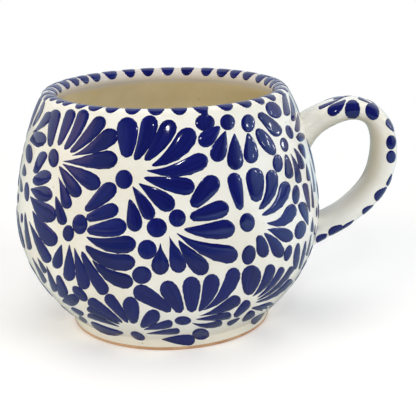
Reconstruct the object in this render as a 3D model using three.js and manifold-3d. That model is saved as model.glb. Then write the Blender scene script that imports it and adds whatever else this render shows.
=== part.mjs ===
// Talavera coffee mug: a thrown, round-bellied clay body on a turned foot, a pulled strap handle
// joined on with slip, and the tin-glaze coats that cover them. Millimetres, +Z up, handle
// along +X, standing on z = 0 with the middle of its footprint at the origin.
import * as THREE from 'three';
import { mergeVertices } from 'three/addons/utils/BufferGeometryUtils.js';
import Module from 'manifold-3d';

const wasm = await Module();
wasm.setup();

// Driving dimensions of the vessel: radii and heights over the glaze, heights from the table
const HEIGHT = 83;                 // crown of the lip
const LIP_RADIUS = 39.7;           // circle of the lip's crown
const LIP_LEAN_DEG = 29;           // inward lean of the wall under the lip
const LIP_RUN = 17;                // reach of the leaning stretch under the lip
const BELLY_RADIUS = 53;
const BELLY_HEIGHT = 40;           // where the belly is widest
const BELLY_RUN_UP = 5;            // upright reach above the widest line
const BELLY_RUN_DOWN = 18;         // upright reach below it
const CREASE_RADIUS = 36;          // turned crease between belly and foot
const CREASE_RUN = 8.5;            // reach of the slanting stretch that leaves the crease
const FOOT_HEIGHT = 4.3;           // table to crease
const FOOT_RADIUS = 35;            // at the table
const FOOT_RING_WIDTH = 5.5;       // flat ring that the mug stands on
const FOOT_RECESS = 2.6;           // hollow turned out inside the ring
const RECESS_SLOPE = 1.2;          // draft of the recess wall
const BARE_BAND = 1.3;             // clay wiped clean above the table
const WALL = 5.6;                  // over both coats
const FLOOR = 6.4;                 // recess roof to the inside floor
const HEEL_RADIUS = 13;            // round of the inside where wall meets floor
const GLAZE = 0.5;                 // thickness of every coat

// Driving dimensions of the handle: its middle line runs in the XZ plane, from root to root
const UPPER_ROOT_REACH = 45.5;     // inside the wall
const UPPER_ROOT_DROP = 17.7;      // below the lip's crown
const UPPER_RISE_OUT = 19.4;       // how the strap springs from the upper root
const UPPER_RISE_UP = 15.8;
const BOW_REACH = 76.1;            // outermost point
const BOW_HEIGHT = 59.6;
const BOW_RUN_UP = 13.2;
const BOW_RUN_DOWN = 13.3;
const LOWER_ROOT_REACH = 46;       // inside the wall
const LOWER_ROOT_HEIGHT = 26.8;
const LOWER_RISE_OUT = 23.6;       // how the strap leaves the lower root
const LOWER_RISE_UP = 10.8;
const STRAP_WIDTH = 14.4;
const UPPER_THICKNESS = 10;
const ARCH_THICKNESS = 7.4;
const BOW_THICKNESS = 9.6;
const LOWER_THICKNESS = 10;
const ARCH_PLACE = 0.3;            // shares of the middle line's length
const BOW_PLACE = 0.55;
const JOINT_LENGTH = 14;           // slip joint, measured along the middle line from its root
const UPPER_SLUMP = 7;             // slip that hangs below the strap at its root
const LOWER_SLUMP = 2.5;
const SLIP_SPREAD = 2.2;           // slip that spreads past the strap's sides at its root
const JOIN_GAP = 0.3;              // between a slip joint and what it is pressed on to

// Fineness of the facets
const TURN_STEPS = 48;
const CURVE_STEPS = 6;
const LIP_STEPS = 3;
const HEEL_STEPS = 4;
const STRAP_SIDES = 16;
const STRAP_STEPS = 20;
const JOINT_STEPS = 6;

const v2 = (x, y) => new THREE.Vector2(x, y);

// Moves an open outline sideways, to its left as it runs.
function offset(points, distance) {
  return points.map((point, i) => {
    const before = points[Math.max(i - 1, 0)];
    const after = points[Math.min(i + 1, points.length - 1)];
    const along = after.clone().sub(before).normalize();
    return v2(point.x - along.y * distance, point.y + along.x * distance);
  });
}

// Where a rising outline crosses a height.
function atHeight(points, height) {
  const i = points.findIndex((point) => point.y > height);
  const [low, high] = [points[i - 1], points[i]];
  return low.clone().lerp(high, (height - low.y) / (high.y - low.y));
}

// Outline of the finished outside, crease to the lip's outer edge.
function outsideWall() {
  const lean = THREE.MathUtils.degToRad(LIP_LEAN_DEG);
  const lip = v2(LIP_RADIUS + (WALL / 2) * Math.cos(lean), HEIGHT - (WALL / 2) * (1 - Math.sin(lean)));
  const crease = v2(CREASE_RADIUS, FOOT_HEIGHT);
  const belly = v2(BELLY_RADIUS, BELLY_HEIGHT);
  const diagonal = CREASE_RUN * Math.SQRT1_2;
  const below = new THREE.CubicBezierCurve(
    crease,
    v2(crease.x + diagonal, crease.y + diagonal),
    v2(belly.x, belly.y - BELLY_RUN_DOWN),
    belly,
  );
  const above = new THREE.CubicBezierCurve(
    belly,
    v2(belly.x, belly.y + BELLY_RUN_UP),
    v2(lip.x + LIP_RUN * Math.sin(lean), lip.y - LIP_RUN * Math.cos(lean)),
    lip,
  );
  return [...below.getPoints(CURVE_STEPS), ...above.getPoints(CURVE_STEPS).slice(1)];
}

// Half of the lip's round, on a circle a set depth under the finished surface.
function lipArc(depth, startDeg, endDeg) {
  const arc = new THREE.EllipseCurve(
    LIP_RADIUS, HEIGHT - WALL / 2, WALL / 2 - depth, WALL / 2 - depth,
    THREE.MathUtils.degToRad(startDeg), THREE.MathUtils.degToRad(endDeg),
  );
  return arc.getPoints(LIP_STEPS);
}

// Outlines at a depth under the finished surface: 0 is the glaze's face, GLAZE the clay's.
function outside(depth) {
  return [...offset(outsideWall(), depth).slice(0, -1), ...lipArc(depth, LIP_LEAN_DEG, 90)];
}

function inside(depth) {
  const floor = FOOT_RECESS + FLOOR - depth;
  const wall = offset(outsideWall(), WALL - depth);
  const heelTop = atHeight(wall, floor + HEEL_RADIUS);
  const corner = v2(atHeight(wall, floor + HEEL_RADIUS / 2).x, floor);
  const heel = new THREE.QuadraticBezierCurve(heelTop, corner, v2(corner.x - HEEL_RADIUS, floor));
  const down = wall.filter((point) => point.y > heelTop.y).reverse();
  return [
    ...lipArc(depth, 90, 180 + LIP_LEAN_DEG),
    ...down.slice(1),
    ...heel.getPoints(HEEL_STEPS),
    v2(0, floor),
  ];
}

// Radius of the glazed foot wall, which tapers from the crease to the table.
function footRadius(height) {
  return THREE.MathUtils.lerp(FOOT_RADIUS, CREASE_RADIUS, height / FOOT_HEIGHT);
}

// Turned solid from an outline of radius and height that runs up the outside.
function turn(outline) {
  return new THREE.LatheGeometry(outline, TURN_STEPS).rotateX(Math.PI / 2);
}

const recessRadius = FOOT_RADIUS - FOOT_RING_WIDTH;
const recessOutline = [
  v2(0, FOOT_RECESS),
  v2(recessRadius - RECESS_SLOPE, FOOT_RECESS),
  v2(recessRadius - RECESS_SLOPE * (BARE_BAND / FOOT_RECESS), BARE_BAND),
];

function thrownBody() {
  const recessClay = [
    v2(0, FOOT_RECESS + GLAZE),
    v2(recessOutline[1].x, FOOT_RECESS + GLAZE),
    v2(recessOutline[2].x + GLAZE, BARE_BAND),
  ];
  const foot = [
    ...recessClay,
    v2(recessOutline[2].x, BARE_BAND),
    v2(recessRadius, 0),
    v2(FOOT_RADIUS, 0),
    v2(footRadius(BARE_BAND), BARE_BAND),
    v2(footRadius(BARE_BAND) - GLAZE, BARE_BAND),
  ];
  return turn([...foot, ...outside(GLAZE), ...inside(GLAZE).slice(1)]);
}

function outerGlaze() {
  const foot = v2(footRadius(BARE_BAND), BARE_BAND);
  const face = [foot, ...outside(0)];
  const back = [v2(foot.x - GLAZE, foot.y), ...outside(GLAZE)].reverse();
  return turn([...face, ...back, foot]);
}

// Both coats end in one seam on the lip's crown.
function innerGlaze() {
  return turn([...inside(GLAZE).reverse(), ...inside(0)]);
}

function recessGlaze() {
  return turn([
    ...recessOutline,
    v2(recessOutline[2].x + GLAZE, BARE_BAND),
    v2(recessOutline[1].x, FOOT_RECESS + GLAZE),
    v2(0, FOOT_RECESS + GLAZE),
  ]);
}

// Middle line of the handle, upper root to lower root.
const upperRootHeight = HEIGHT - UPPER_ROOT_DROP;
const spine = new THREE.CurvePath();
const inPlane = (reach, height) => new THREE.Vector3(reach, 0, height);
spine.add(new THREE.CubicBezierCurve3(
  inPlane(UPPER_ROOT_REACH, upperRootHeight),
  inPlane(UPPER_ROOT_REACH + UPPER_RISE_OUT, upperRootHeight + UPPER_RISE_UP),
  inPlane(BOW_REACH, BOW_HEIGHT + BOW_RUN_UP),
  inPlane(BOW_REACH, BOW_HEIGHT),
));
spine.add(new THREE.CubicBezierCurve3(
  inPlane(BOW_REACH, BOW_HEIGHT),
  inPlane(BOW_REACH, BOW_HEIGHT - BOW_RUN_DOWN),
  inPlane(LOWER_ROOT_REACH + LOWER_RISE_OUT, LOWER_ROOT_HEIGHT + LOWER_RISE_UP),
  inPlane(LOWER_ROOT_REACH, LOWER_ROOT_HEIGHT),
));
const upperJointEnd = JOINT_LENGTH / spine.getLength();
const lowerJointEnd = 1 - upperJointEnd;

// Thickness of the glazed strap along its middle line.
function strapThickness(place) {
  const stations = [
    [0, UPPER_THICKNESS],
    [ARCH_PLACE, ARCH_THICKNESS],
    [BOW_PLACE, BOW_THICKNESS],
    [1, LOWER_THICKNESS],
  ];
  const last = stations.findIndex(([end], i) => i > 0 && place <= end);
  const [[start, from], [end, to]] = [stations[last - 1], stations[last]];
  return THREE.MathUtils.lerp(from, to, THREE.MathUtils.smoothstep(place, start, end));
}

// Oval section of the strap. Grow widens it all round, slump lets its under side hang down, and
// spread widens its sides.
function section(place, { grow = 0, slump = 0, spread = 0 } = {}) {
  const middle = spine.getPointAt(place);
  const along = spine.getTangentAt(place);
  const outward = new THREE.Vector3(-along.z, 0, along.x);
  const sideways = new THREE.Vector3(0, 1, 0);
  const halfThick = strapThickness(place) / 2 + grow;
  const halfWide = STRAP_WIDTH / 2 + grow + spread;
  return Array.from({ length: STRAP_SIDES }, (_, i) => {
    const angle = (i / STRAP_SIDES) * 2 * Math.PI;
    const under = Math.max(0, -Math.cos(angle) * Math.sign(outward.z));
    const point = middle.clone()
      .addScaledVector(outward, halfThick * Math.cos(angle))
      .addScaledVector(sideways, halfWide * Math.sin(angle));
    point.z -= slump * under;
    return point;
  });
}

// Triangles of the skin over a run of rings whose first point has the given number. An inward
// skin has the same facets, facing the other way.
function skin(rings, first = 0, inward = false) {
  const sides = rings[0].length;
  const faces = [];
  for (let ring = 0; ring < rings.length - 1; ring += 1) {
    for (let side = 0; side < sides; side += 1) {
      const here = first + ring * sides;
      const [a, b] = [here + side, here + ((side + 1) % sides)];
      const [c, d] = [b + sides, a + sides];
      faces.push(...(inward ? [a, b, c, a, c, d] : [a, c, b, a, d, c]));
    }
  }
  return faces;
}

function facets(rings, faces) {
  const geometry = new THREE.BufferGeometry().setFromPoints(rings.flat());
  geometry.setIndex(faces);
  return geometry;
}

// Solid through a run of rings, closed by a flat end at each side.
function loft(rings) {
  const sides = rings[0].length;
  const last = (rings.length - 1) * sides;
  const faces = skin(rings);
  for (let i = 1; i < sides - 1; i += 1) faces.push(0, i, i + 1, last, last + i + 1, last + i);
  return facets(rings, faces);
}

// Tube between an outer and an inner run of rings, open at both ends.
function sleeve(outer, inner) {
  const sides = outer[0].length;
  const toInner = outer.length * sides;
  const last = toInner - sides;
  const faces = [...skin(outer), ...skin(inner, toInner, true)];
  for (let i = 0; i < sides; i += 1) {
    const j = (i + 1) % sides;
    faces.push(i, j, toInner + j, i, toInner + j, toInner + i);
    const [a, b] = [last + i, last + j];
    faces.push(a, toInner + b, b, a, toInner + a, toInner + b);
  }
  return facets([...outer, ...inner], faces);
}

function strapPlaces() {
  return Array.from({ length: STRAP_STEPS + 1 }, (_, i) => (
    THREE.MathUtils.lerp(upperJointEnd, lowerJointEnd, i / STRAP_STEPS)));
}

const strapFace = strapPlaces().map((place) => section(place));
const strapClay = strapPlaces().map((place) => section(place, { grow: -GLAZE }));

// Pad of slip between a strap end and the wall: it leaves the strap at the glaze's face, spreads
// as it nears the wall and runs on into it, where the wall trims it.
function slipPad(root, strapEnd, slump, grow) {
  const rings = Array.from({ length: JOINT_STEPS + 1 }, (_, i) => {
    const place = THREE.MathUtils.lerp(root, strapEnd, i / JOINT_STEPS);
    const nearness = (1 - i / JOINT_STEPS) ** 2;
    return section(place, { grow, slump: slump * nearness, spread: SLIP_SPREAD * nearness });
  });
  const inwards = spine.getTangentAt(root).multiplyScalar(root < strapEnd ? -WALL : WALL);
  rings.unshift(rings[0].map((point) => point.clone().add(inwards)));
  return loft(root < strapEnd ? rings : rings.reverse());
}

const upperPad = (grow = 0) => slipPad(0, upperJointEnd, UPPER_SLUMP, grow);
const lowerPad = (grow = 0) => slipPad(1, lowerJointEnd, LOWER_SLUMP, grow);

// Solids for cutting: merged vertices, no collapsed triangles.
function toSolid(geometry) {
  const bare = geometry.clone();
  bare.deleteAttribute('normal');
  bare.deleteAttribute('uv');
  const merged = mergeVertices(bare, 1e-4);
  const kept = [];
  const index = merged.index.array;
  for (let i = 0; i < index.length; i += 3) {
    const [a, b, c] = [index[i], index[i + 1], index[i + 2]];
    if (a !== b && b !== c && c !== a) kept.push(a, b, c);
  }
  return new wasm.Manifold(new wasm.Mesh({
    numProp: 3,
    vertProperties: new Float32Array(merged.attributes.position.array),
    triVerts: new Uint32Array(kept),
  }));
}

function cut(geometry, ...cutters) {
  const solid = cutters.reduce((left, cutter) => left.subtract(toSolid(cutter)), toSolid(geometry));
  const mesh = solid.getMesh();
  const result = new THREE.BufferGeometry();
  result.setAttribute('position', new THREE.BufferAttribute(mesh.vertProperties, 3));
  result.setIndex(new THREE.BufferAttribute(mesh.triVerts, 1));
  return result;
}

// Room that the clay wall takes up, with the gap that the slip joints keep to it.
function wallEnvelope() {
  const skin = outside(GLAZE - JOIN_GAP);
  return turn([v2(0, skin[0].y), ...skin, v2(0, HEIGHT)]);
}

const CLAY = { color: 0xc88c58, roughness: 0.9 };
const TIN_WHITE = { color: 0xf3eddc, roughness: 0.12 };
const LINER_WHITE = { color: 0xe6dcc0, roughness: 0.15 };

function piece(name, geometry, { color, roughness }) {
  const material = new THREE.MeshStandardMaterial({ color, roughness, metalness: 0 });
  const mesh = new THREE.Mesh(geometry, material);
  mesh.name = name;
  return mesh;
}

const mug = new THREE.Group();
mug.add(
  piece('thrown_body', thrownBody(), CLAY),
  piece('outer_glaze', cut(outerGlaze(), upperPad(JOIN_GAP), lowerPad(JOIN_GAP)), TIN_WHITE),
  piece('inner_glaze', innerGlaze(), LINER_WHITE),
  piece('foot_recess_glaze', recessGlaze(), TIN_WHITE),
  piece('handle_strap', loft(strapClay), CLAY),
  piece('handle_glaze', sleeve(strapFace, strapClay), TIN_WHITE),
  piece('upper_slip_joint', cut(upperPad(), wallEnvelope()), TIN_WHITE),
  piece('lower_slip_joint', cut(lowerPad(), wallEnvelope()), TIN_WHITE),
);

// The footprint's middle goes to the origin.
const footprint = new THREE.Box3().setFromObject(mug).getCenter(new THREE.Vector3());
mug.position.x = -footprint.x;

export default mug;
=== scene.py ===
import random
from itertools import product
from math import atan, atan2, copysign, cos, floor, pi, radians, sin, sqrt

import bmesh
import bpy
from mathutils import Matrix, Vector
from mathutils.bvhtree import BVHTree


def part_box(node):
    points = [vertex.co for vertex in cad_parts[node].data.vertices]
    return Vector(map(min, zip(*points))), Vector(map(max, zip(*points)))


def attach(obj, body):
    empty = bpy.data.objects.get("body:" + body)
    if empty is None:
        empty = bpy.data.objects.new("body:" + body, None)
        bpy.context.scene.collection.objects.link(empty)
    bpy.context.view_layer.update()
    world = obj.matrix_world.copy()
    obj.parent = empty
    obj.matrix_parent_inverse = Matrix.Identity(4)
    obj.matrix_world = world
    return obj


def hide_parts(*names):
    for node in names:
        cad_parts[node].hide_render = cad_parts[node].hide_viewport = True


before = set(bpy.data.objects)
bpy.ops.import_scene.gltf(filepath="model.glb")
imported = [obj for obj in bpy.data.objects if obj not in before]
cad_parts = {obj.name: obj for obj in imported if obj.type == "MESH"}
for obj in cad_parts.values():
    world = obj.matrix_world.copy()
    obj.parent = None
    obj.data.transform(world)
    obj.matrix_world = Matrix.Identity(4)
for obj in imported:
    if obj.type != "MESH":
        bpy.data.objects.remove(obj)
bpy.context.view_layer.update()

MM = 0.001
liner_low, liner_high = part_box("inner_glaze")
AXIS_X = (liner_low.x + liner_high.x) / 2

# The vessel's outline in millimetres: radius from its axis, height above the table
HEIGHT = 83.0
LIP_RADIUS = 39.7
LIP_LEAN = radians(29)
LIP_CROWN = radians(90)
LIP_INNER = radians(150)
LIP_PULL = 0.364518
LIP_RUN = 17.0
INSIDE_LIP_RUN = 15.3
BELLY_RADIUS = 53.0
BELLY_HEIGHT = 40.0
BELLY_RUN_UP = 5.0
BELLY_RUN_DOWN = 18.0
INSIDE_RUN_DOWN = 7.0
CREASE_RADIUS = 36.0
CREASE_RUN = 6.01
FOOT_HEIGHT = 4.3
FOOT_RADIUS = 35.0
FOOT_RING_WIDTH = 5.5
FOOT_RECESS = 2.6
RECESS_SLOPE = 1.2
BARE_BAND = 1.3
WALL = 5.6
FLOOR_HEIGHT = 9.0
HEEL_RADIUS = 13.0
HEEL_TOP = (42.9, 22.0)
HEEL_RUN = (2.4, 5.0)
HEEL_CORNER = 39.7
GLAZE = 0.5
TURN_STEPS = 192
CURVE_STEPS = 20

# Worn edges of the foot ring and edges of the glaze beside it, as steps from a corner
RING_INNER_EDGE = ((-0.12, 0.3), (0.3, 0.0))
RING_OUTER_EDGE = ((-0.45, 0.0), (-0.05, 0.35))
WIPED_EDGE = ((-0.02, -0.05), (-GLAZE, 0.0))
OUTER_COAT_EDGE = ((-GLAZE, 0.1), (-0.1, 0.0), (0.0, 0.3))
RECESS_COAT_EDGE = ((-1.0, 0.0), (-0.2, -0.25))

# Unevenness of a wall thrown by hand, in shares of its radius: an oval, three lobes, fine rings
OVAL_SWELL = 0.0032
OVAL_TURN = 0.9
LOBE_SWELL = 0.0014
LOBE_TURN = 2.0
LOBE_TWIST = 2.4
RING_SWELL = 0.0007
RING_PITCH = 74

# The handle's middle line, in the plane through the axis: root, arch, bow, lower root
HANDLE_KNOTS = (
    ((45.5, 65.3), (64.9, 81.1), (76.1, 72.8), (76.1, 59.6)),
    ((76.1, 59.6), (76.1, 46.3), (69.6, 37.6), (46.0, 27.5)),
)
STRAP_WIDTH = 14.4
STRAP_THICKNESS = ((0.0, 9.4), (0.3, 7.4), (0.52, 9.3), (0.8, 8.4), (1.0, 8.6))
STRAP_SIDES = 32
STRAP_STATIONS = 64
LINE_STEPS = 200
RUN_TOLERANCE = 1e-9
SECTION_POWER = 2.5
JOINT_LENGTH = 14.0
SLUMP_LENGTH = 9.0
UPPER_SLUMP = 4.0
LOWER_SLUMP = 0.8
SLIP_SPREAD = 2.2
ROOT_DEPTH = 3.0
WANDER = 0.25
WANDER_PITCH = 21
WANDER_START = 0.7
WRINKLE = 0.15
WRINKLE_PITCH = 37
# Painted shade on the handle: a little over all of it, full on its finger side
OUTER_PAINTED_SHADE = 0.15

# Gaps that are closed once a piece is formed, and angles up to which it is shaded smooth
OUTLINE_WELD = 0.01
SPIN_WELD = 0.004
STRAP_WELD = 0.002
STROKE_WELD = 0.001
SMOOTH_DEGREES = 40
STROKE_SMOOTH_DEGREES = 60

# The photograph's camera: distance to the vessel's middle, height angle, place of that middle
CAMERA_DISTANCE = 386.3
CAMERA_ELEVATION = radians(16.13)
MIDDLE_PIXEL = (168.7, 201.2)
CAMERA_ROLL = radians(1.62)
FRAME_PIXELS = 416
FOCAL_PIXELS = 1089.5

# Brushwork
STROKE_RISE = 0.22
STROKE_SINK = 0.06
SHOULDER_POWER = 0.35
TIP_LIMIT = 0.6
BLUNT_LIMIT = 0.3
SHARP_START = 0.08
PAINT_SPREAD = 0.035
FULL_VIEW = 62
EDGE_FACING = 0.5
EDGE_WIDTH_LIMIT = 6.5
COVER_CELL = 7.0
SEARCH_STEPS = 80
SEARCH_PIXELS = 0.5
STEEPEST_FACING = 0.4


def deselect():
    bpy.ops.object.select_all(action="DESELECT")


def at_vessel(x, y, z):
    """Millimetres from the vessel's axis and the table, as a place in the frame."""
    return Vector((AXIS_X + x * MM, y * MM, z * MM))


def linear(red, green, blue):
    """A colour named in display values from 0 to 255, as a shader takes it."""
    parts = []
    for value in (red, green, blue):
        share = value / 255
        parts.append(share / 12.92 if share <= 0.04045 else ((share + 0.055) / 1.055) ** 2.4)
    return (*parts, 1.0)


# Camera
def aimed_camera():
    middle = at_vessel(0, 0, HEIGHT / 2)
    back = Vector((0, -cos(CAMERA_ELEVATION), sin(CAMERA_ELEVATION)))
    eye = middle + back * CAMERA_DISTANCE * MM
    level = (-back).to_track_quat("-Z", "Y").to_matrix()
    centre = FRAME_PIXELS / 2
    turn = atan((centre - MIDDLE_PIXEL[0]) / FOCAL_PIXELS)
    dip = atan((centre - MIDDLE_PIXEL[1]) / FOCAL_PIXELS)
    aim = (level @ Matrix.Rotation(-turn, 3, "Y") @ Matrix.Rotation(-dip, 3, "X")
           @ Matrix.Rotation(-CAMERA_ROLL, 3, "Z"))
    data = bpy.data.cameras.new("photo_camera")
    camera = bpy.data.objects.new("photo_camera", data)
    bpy.context.scene.collection.objects.link(camera)
    data.lens = FOCAL_PIXELS / FRAME_PIXELS * data.sensor_width
    data.clip_start = 0.01
    data.clip_end = 50
    camera.location = eye
    camera.rotation_euler = aim.to_euler()
    bpy.context.scene.camera = camera
    return eye, aim


EYE, AIM = aimed_camera()


def sight_line(x, y):
    """Direction from the camera through a pixel of the photograph."""
    centre = FRAME_PIXELS / 2
    return (AIM @ Vector((x - centre, centre - y, -FOCAL_PIXELS))).normalized()


# Vessel: outlines drawn as curves and spun round the axis
def lip_edge(angle, depth):
    reach = WALL / 2 - depth
    return (LIP_RADIUS + reach * cos(angle), HEIGHT - WALL / 2 + reach * sin(angle))


def lip_knot(angle, depth):
    """A knot of the lip's round, whose handles make an arc of sixty degrees or so."""
    x, z = lip_edge(angle, depth)
    pull = (WALL / 2 - depth) * LIP_PULL
    dx, dz = -sin(angle) * pull, cos(angle) * pull
    return ((x - dx, z - dz), (x, z), (x + dx, z + dz))


def wall_knots(depth):
    """The outside of the wall at a depth under its face, foot crease to the lip's crown."""
    diagonal = sqrt(0.5)
    crease = (CREASE_RADIUS - depth * diagonal, FOOT_HEIGHT + depth * diagonal)
    belly = (BELLY_RADIUS - depth, BELLY_HEIGHT)
    lip = lip_edge(LIP_LEAN, depth)
    below_lip = (lip[0] + LIP_RUN * sin(LIP_LEAN), lip[1] - LIP_RUN * cos(LIP_LEAN))
    start = lip_knot(LIP_LEAN, depth)
    return [
        (crease, crease, (crease[0] + CREASE_RUN, crease[1] + CREASE_RUN)),
        ((belly[0], belly[1] - BELLY_RUN_DOWN), belly, (belly[0], belly[1] + BELLY_RUN_UP)),
        (below_lip, lip, start[2]),
        lip_knot(LIP_CROWN, depth),
    ]


def inside_knots(depth):
    """The inside at a depth under its face, lip's crown to the middle of the floor."""
    lean = pi + LIP_LEAN
    lip = lip_edge(lean, depth)
    floor = FLOOR_HEIGHT - depth
    belly = (BELLY_RADIUS - WALL + depth, BELLY_HEIGHT)
    below_lip = (lip[0] + INSIDE_LIP_RUN * sin(LIP_LEAN),
                 lip[1] - INSIDE_LIP_RUN * cos(LIP_LEAN))
    end = lip_knot(lean, depth)
    heel_top = (HEEL_TOP[0] + depth, HEEL_TOP[1] - depth)
    corner = (HEEL_CORNER + depth, floor)
    heel_end = (corner[0] - HEEL_RADIUS, floor)
    two_thirds = 2 / 3
    into_heel = (heel_top[0] + (corner[0] - heel_top[0]) * two_thirds,
                 heel_top[1] + (corner[1] - heel_top[1]) * two_thirds)
    out_of_heel = (heel_end[0] + HEEL_RADIUS * two_thirds, floor)
    return [
        lip_knot(LIP_CROWN, depth),
        lip_knot(LIP_INNER, depth),
        (end[0], lip, below_lip),
        ((belly[0], belly[1] + BELLY_RUN_UP), belly, (belly[0], belly[1] - INSIDE_RUN_DOWN)),
        ((heel_top[0] + HEEL_RUN[0], heel_top[1] + HEEL_RUN[1]), heel_top, into_heel),
        (out_of_heel, heel_end, (heel_end[0] / 2, floor)),
        ((heel_end[0] / 4, floor), (0.0, floor), (0.0, floor)),
    ]


def straight(points):
    """Corner knots, for an outline of straight runs."""
    return [(point, point, point) for point in points]


def backwards(knots):
    return [(after, point, before) for before, point, after in reversed(knots)]


def foot_wall(height):
    return FOOT_RADIUS + (CREASE_RADIUS - FOOT_RADIUS) * height / FOOT_HEIGHT


def foot_ring():
    """Radius of the foot ring's inner edge, and where the glaze of the recess begins."""
    inner = FOOT_RADIUS - FOOT_RING_WIDTH
    return inner, inner - RECESS_SLOPE * BARE_BAND / FOOT_RECESS


def drawn_outline(name, knots, closed):
    deselect()
    bpy.ops.curve.primitive_bezier_curve_add()
    outline = bpy.context.object
    outline.name = name
    outline.data.resolution_u = CURVE_STEPS
    spline = outline.data.splines[0]
    spline.bezier_points.add(len(knots) - 2)
    for point, (before, middle, after) in zip(spline.bezier_points, knots):
        point.handle_left_type = "FREE"
        point.handle_right_type = "FREE"
        point.co = at_vessel(middle[0], 0, middle[1])
        point.handle_left = at_vessel(before[0], 0, before[1])
        point.handle_right = at_vessel(after[0], 0, after[1])
    spline.use_cyclic_u = closed
    bpy.ops.object.convert(target="MESH")
    return bpy.context.object


def welded(gap):
    """Closes small gaps in the piece being edited, and turns its faces outwards."""
    bpy.ops.mesh.select_all(action="SELECT")
    bpy.ops.mesh.remove_doubles(threshold=gap * MM)
    bpy.ops.mesh.normals_make_consistent(inside=False)
    bpy.ops.object.mode_set(mode="OBJECT")


def spun(name, knots, closed=True):
    """An outline spun once round the vessel's axis, closed and facing outwards."""
    piece = drawn_outline(name, knots, closed)
    piece.data.name = name
    bpy.ops.object.mode_set(mode="EDIT")
    bpy.ops.mesh.select_all(action="SELECT")
    bpy.ops.mesh.remove_doubles(threshold=OUTLINE_WELD * MM)
    bpy.ops.mesh.select_all(action="SELECT")
    bpy.ops.mesh.spin(steps=TURN_STEPS, angle=2 * pi, center=(AXIS_X, 0, 0), axis=(0, 0, 1))
    welded(SPIN_WELD)
    thrown_by_hand(piece)
    smooth(piece)
    return piece


def thrown_by_hand(piece):
    """The small unevenness of a vessel thrown by hand: out of round and faintly ringed."""
    for vertex in piece.data.vertices:
        x = vertex.co.x - AXIS_X
        y = vertex.co.y
        height = vertex.co.z / (HEIGHT * MM)
        angle = atan2(y, x)
        swell = OVAL_SWELL * sin(2 * angle + OVAL_TURN) * height
        swell += LOBE_SWELL * sin(3 * angle + LOBE_TURN + LOBE_TWIST * height)
        swell += RING_SWELL * sin(height * RING_PITCH + angle) * sin(height * pi)
        vertex.co.x = AXIS_X + x * (1 + swell)
        vertex.co.y = y * (1 + swell)
    piece.data.update()


def smooth(piece, degrees=SMOOTH_DEGREES):
    deselect()
    piece.select_set(True)
    bpy.context.view_layer.objects.active = piece
    bpy.ops.object.shade_smooth_by_angle(angle=radians(degrees))


def finished(piece, material, slot, *nodes):
    """Gives a piece its material and its place in the frame."""
    piece.data.materials.clear()
    piece.data.materials.append(material)
    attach(piece, "root")
    if nodes:
        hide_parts(*nodes)
    return piece


def stepped(corner, steps):
    return [(corner[0] + out, corner[1] + up) for out, up in steps]


def make_clay_body():
    inner, bare_inner = foot_ring()
    roof = FOOT_RECESS + GLAZE
    foot = straight([
        (0.0, roof),
        (inner - RECESS_SLOPE, roof),
        (bare_inner, BARE_BAND),
        *stepped((inner, 0.0), RING_INNER_EDGE),
        *stepped((FOOT_RADIUS, 0.0), RING_OUTER_EDGE),
        *stepped((foot_wall(BARE_BAND), BARE_BAND), WIPED_EDGE),
    ])
    return spun("clay_body", foot + wall_knots(GLAZE)[:-1] + inside_knots(GLAZE), closed=False)


def make_outer_glaze():
    edge = straight(stepped((foot_wall(BARE_BAND), BARE_BAND), OUTER_COAT_EDGE))
    return spun("outer_glaze_coat", edge + wall_knots(0) + backwards(wall_knots(GLAZE)))


def make_liner():
    return spun("liner_glaze_coat", inside_knots(0) + backwards(inside_knots(GLAZE)))


def make_recess_glaze():
    inner, bare_inner = foot_ring()
    corner = inner - RECESS_SLOPE
    return spun("foot_recess_coat", straight([
        (0.0, FOOT_RECESS),
        *stepped((corner, FOOT_RECESS), RECESS_COAT_EDGE),
        (bare_inner, BARE_BAND),
        (bare_inner + GLAZE, BARE_BAND),
        (corner, FOOT_RECESS + GLAZE),
        (0.0, FOOT_RECESS + GLAZE),
    ]), closed=False)


# Handle: a pulled strap extruded along its middle line
def bezier(points, share):
    a, b, c, d = (Vector(point) for point in points)
    rest = 1 - share
    place = a * rest ** 3 + b * 3 * rest ** 2 * share + c * 3 * rest * share ** 2 + d * share ** 3
    along = (b - a) * rest ** 2 + (c - b) * 2 * rest * share + (d - c) * share ** 2
    return place, along.normalized()


def run_along(curves, steps):
    """Closely spaced rows along joined curves: run so far, place, direction."""
    fine = [bezier(points, step / steps) for points in curves for step in range(steps)]
    fine.append(bezier(curves[-1], 1.0))
    rows = [(0.0, *fine[0])]
    for place, along in fine[1:]:
        run, before, _ = rows[-1]
        rows.append((run + (place - before).length, place, along))
    return rows


def handle_line():
    """Even stations on the middle line as share of its length, place, direction; and its length."""
    rows = run_along(HANDLE_KNOTS, LINE_STEPS)
    length = rows[-1][0]
    stations = []
    for number in range(STRAP_STATIONS + 1):
        want = length * number / STRAP_STATIONS
        reached = next(row for row in rows if row[0] >= want - RUN_TOLERANCE)
        stations.append((want / length, *reached[1:]))
    return stations, length


def strap_thickness(share):
    for (start, begun), (end, reached) in zip(STRAP_THICKNESS, STRAP_THICKNESS[1:]):
        if share <= end:
            part = (share - start) / (end - start)
            return begun + (reached - begun) * part * part * (3 - 2 * part)
    return STRAP_THICKNESS[-1][1]


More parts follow.
